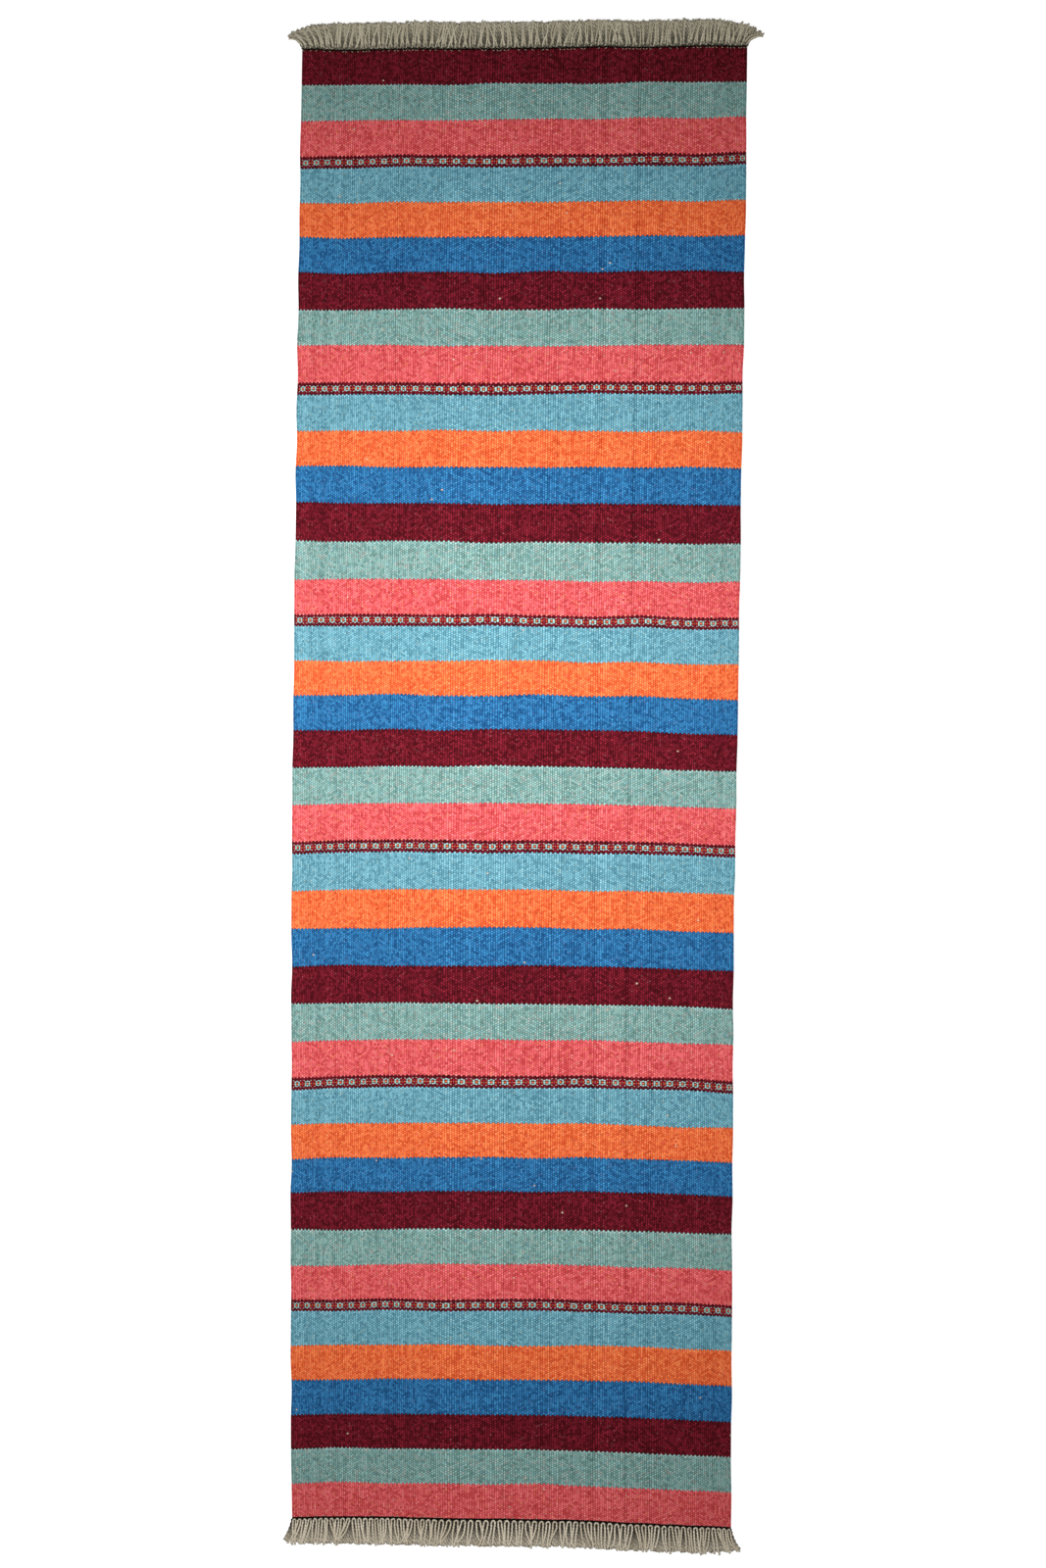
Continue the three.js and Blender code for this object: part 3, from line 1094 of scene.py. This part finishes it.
def warp_yarns(material):
    """The warps inside the weft, one yarn along each rib."""
    r = np.linspace(ALL_PICKS - 0.5, 0.5, 61)
    c = np.arange(1, WARPS - 1) + 0.5
    x, y, z = cloth_point(c[:, None] + 0 * r, r[None] + 0 * c[:, None])
    path = np.stack([x, y, z + WARP_HEIGHT], axis=-1)
    ring = np.arange(6) * np.pi / 3
    side = np.stack([np.cos(ring), 0 * ring, np.sin(ring)], axis=1) * WARP_RADIUS
    own = np.random.default_rng(SEED + 6).uniform(0, 1, (len(c), 1, 1))
    yarns = Yarns()
    yarns.add_tubes(path[:, :, None] + side, 0.5, own, 1.0)
    return yarns.make("warp_yarns", [material])


def selvedge_cord(name, c, inset, material):
    """The doubled outer warp in one selvedge."""
    r = np.linspace(ALL_PICKS - 0.5, 0.5, 700)
    x, y, z = cloth_point(c + 0 * r, r)
    path = np.stack([x + inset, y, z + SELVEDGE_RADIUS], axis=1)[None]
    yarns = Yarns()
    phase, tone = np.zeros(1), np.full(1, 0.5)
    yarns.add_plied(path, OUTER_WARP_RADIUS, OUTER_WARP_TURN, phase, tone, 1.0, plies=2)
    return yarns.make(name, [material])


# ---- flowers

# Each float of one flower: its rib from the middle one, its distance from the
# middle row, its share of the rib's width, its length, and its yarn.
MINT, ORANGE, PALE, CHERRY = 0, 1, 2, 3
FLOAT_DOMES = {MINT: 1.2, ORANGE: 1.2, PALE: 1.0, CHERRY: 0.75}
HALF_FLOWER = [
    (0.0, 3.1, 1.1, 2.4, MINT),
    (1.0, 2.2, 1.1, 2.4, MINT),
    (-1.0, 2.2, 1.1, 2.4, MINT),
    (2.05, 4.0, 0.85, 1.3, PALE),
    (-2.05, 4.0, 0.85, 1.3, PALE),
    (2.05, 1.9, 0.85, 2.0, CHERRY),
    (-2.05, 1.9, 0.85, 2.0, CHERRY),
    (3.0, 2.0, 0.85, 2.4, CHERRY),
]
MIDDLE_ROW = [
    (-1.05, 0.0, 1.05, 2.8, MINT),
    (1.05, 0.0, 1.05, 2.8, MINT),
    (0.0, 0.0, 1.0, 2.7, ORANGE),
    (-2.05, 0.0, 0.9, 1.7, ORANGE),
    (2.05, 0.0, 0.9, 1.7, ORANGE),
    (3.0, 0.0, 0.5, 1.0, PALE),
]
FLOWER = HALF_FLOWER + [(rib, -rise, *rest) for rib, rise, *rest in HALF_FLOWER] + MIDDLE_ROW


def float_dome(rng, c, rise, share, length, slant, middle, bulge):
    """One float's points: rings that narrow towards the top, and then its tip."""
    row = middle - rise / PICK
    x, y, stand = cloth_point(c, row)
    left, right = (cloth_point(c + side, row)[0] for side in (-0.5, 0.5))
    half_x = (right - left) / 2 * share * rng.uniform(0.92, 1.08)
    half_y = length / 2 * rng.uniform(0.92, 1.08)
    turn = np.arange(10) * FULL_TURN / 10
    dome = np.linspace(0, np.pi / 2, 4, endpoint=False)[:, None]
    across = np.sign(np.cos(turn)) * np.abs(np.cos(turn)) ** 0.8
    along = np.sign(np.sin(turn)) * np.abs(np.sin(turn)) ** 0.8
    local_x = np.cos(dome) * across * half_x
    local_y = np.cos(dome) * along * half_y + slant * local_x
    root = stand + FLOAT_ROOT_HEIGHT
    height = root + bulge * np.sin(dome) + 0 * local_x
    rings = np.stack([x + local_x, y + local_y, height], axis=-1)
    return rings, np.array([[x, y, root + bulge]])


def flower_row(name, band, materials):
    """The floats of one flowered band, each a low dome of yarn on the beads."""
    rng = np.random.default_rng(SEED + 40 + band)
    middle = (BAND_PICKS[band] + BAND_PICKS[band + 1]) / 2 - 0.5
    yarns = Yarns()
    for flower in range(WARPS // WARPS_PER_FLOWER):
        centre = flower * WARPS_PER_FLOWER + 3.5
        for rib, rise, share, length, yarn in FLOWER:
            c = centre + rib + rng.normal(0, 0.04)
            if c > WARPS - 0.4:
                continue
            rise = rise + rng.normal(0, 0.12)
            slant = 0.45 * np.sign(rib * rise) if yarn == PALE and abs(rise) > 1 else 0.0
            bulge = FLOAT_DOMES[yarn]
            rings, tip = float_dome(rng, c, rise, share, length, slant, middle, bulge)
            own = rng.uniform(0, 1)
            number = yarns.add_points(rings, 0.5, own, 1.0)
            peak = yarns.add_points(tip, 0.5, own, 1.0)
            turned = np.roll(number, -1, axis=1)
            corners = [number[:-1], turned[:-1], turned[1:], number[1:]]
            yarns.faces.add(np.stack(corners, axis=-1).reshape(-1, 4), slot=yarn)
            peaks = np.full(number.shape[1], peak[0])
            cap = np.stack([number[-1], turned[-1], peaks], axis=1)
            yarns.faces.add(cap, slot=yarn)
            yarns.faces.add(number[0, ::-1], smooth=False, slot=yarn)
    return yarns.make(name, materials)


# ---- the rug


def build_rug():
    wefts = {name: weft_material(f"weft_{name}", **look) for name, look in WEFTS.items()}
    wefts["flowered"] = wefts["maroon"]
    flower_yarns = [
        yarn_material("flower_mint", srgb(172, 208, 204), 0.75, 1.25),
        yarn_material("flower_orange", srgb(250, 118, 66), 0.75, 1.3),
        yarn_material("flower_pale", srgb(212, 202, 190), 0.7, 1.3),
        yarn_material("flower_cherry", srgb(168, 34, 46), 0.7, 1.4),
    ]
    head_yarn = yarn_material("fringe_yarn_head", srgb(207, 198, 173), 0.55, 1.35, painted_pile_shade=0.92)
    foot_yarn = yarn_material("fringe_yarn_foot", srgb(228, 216, 193), 0.55, 1.3, painted_pile_shade=0.92)
    warp_yarn = yarn_material("warp_yarn", srgb(196, 188, 168), 0.8, 1.2)
    # The dark twining yarn is the cord's own dark colour and also painted shade between the
    # fringe bunches' roots.
    twining_dark_and_shade = yarn_material("twining_dark_and_shade", srgb(20, 15, 12), 0.6, 1.5)
    twining_pale = yarn_material("twining_pale", srgb(178, 168, 142), 0.75, 1.25)

    fringes = {1: head_fringe(head_yarn), -1: foot_fringe(foot_yarn)}
    twining = {
        1: end_twining("end_cord_head", 1, twining_dark_and_shade, twining_pale),
        -1: end_twining("end_cord_foot", -1, twining_dark_and_shade, twining_pale),
    }
    for away, end in ((1, "head"), (-1, "foot")):
        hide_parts(f"fringe_{end}")
        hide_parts(f"end_twining_{end}")

    warps = warp_yarns(warp_yarn)
    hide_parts("warp_set")
    for side, c, inward in (("left", 0.0, 1), ("right", float(WARPS), -1)):
        inset = inward * OUTER_WARP_INSET
        cord = selvedge_cord(f"selvedge_yarn_{side}", c, inset, warp_yarn)
        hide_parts(f"selvedge_cord_{side}")

    for i, band in enumerate(BANDS):
        name = f"weft_{band.number}_{band.colour}"
        flowered = band.colour == "flowered"
        piece = weave_solid(name, BAND_PICKS[i], BAND_PICKS[i + 1], wefts[band.colour])
        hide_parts(band.node)
        going = []
        if flowered:
            floats = flower_row(f"flowers_{band.number}", i, flower_yarns)
            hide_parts(f"flower_floats_{band.number}")
            going.append(floats)
        if i == 0:
            going += [fringes[1], twining[1]]
        if i == len(BANDS) - 1:
            going += [fringes[-1], twining[-1]]


# ---- the studio


def build_camera():
    data = bpy.data.cameras.new("camera")
    data.lens, data.sensor_width = LENS, SENSOR
    camera = bpy.data.objects.new("camera", data)
    bpy.context.scene.collection.objects.link(camera)
    height = VIEW_HEIGHT * LENS / SENSOR + CREST_HEIGHT
    camera.location = (VIEW_CENTRE[0] * MM, VIEW_CENTRE[1] * MM, height * MM)
    camera.rotation_euler = (0, 0, CAMERA_ROLL)
    bpy.context.scene.camera = camera


def build_floor():
    mesh = bpy.data.meshes.new("floor")
    ways = ((-1, -1), (1, -1), (1, 1), (-1, 1))
    corners = [(x * FLOOR_REACH, y * FLOOR_REACH, 0) for x, y in ways]
    mesh.from_pydata(corners, [], [(0, 1, 2, 3)])
    floor = bpy.data.objects.new("floor", mesh)
    bpy.context.scene.collection.objects.link(floor)
    material, tree, shader = new_material("floor_white")
    place = object_place(tree)
    tone = cloud(tree, place, 1.5, 2.0).map(0.3, 0.7, 0.54, 0.58)
    feed(tree, shader.inputs["Base Color"], combine(tree, tone, tone, tone))
    shader.inputs["Roughness"].default_value = 0.9
    shader.inputs["Specular IOR Level"].default_value = 0.1
    shader.inputs["Emission Color"].default_value = (1, 1, 1, 1)
    shader.inputs["Emission Strength"].default_value = FLOOR_GLOW
    mesh.materials.append(material)


def add_area_light(name, place, size, power):
    data = bpy.data.lights.new(name, "AREA")
    data.shape, data.size, data.energy = "DISK", size, power
    light = bpy.data.objects.new(name, data)
    bpy.context.scene.collection.objects.link(light)
    light.location = place
    light.visible_camera = False


def build_lights():
    for name, light in AREA_LIGHTS.items():
        add_area_light(name, **light)
    world = bpy.data.worlds.new("studio")
    world.use_nodes = True
    background = world.node_tree.nodes["Background"]
    background.inputs["Color"].default_value = (1, 1, 1, 1)
    background.inputs["Strength"].default_value = WORLD_STRENGTH
    bpy.context.scene.world = world
    bpy.context.scene.view_settings.view_transform = "Standard"


build_camera()
build_floor()
build_lights()
build_rug()
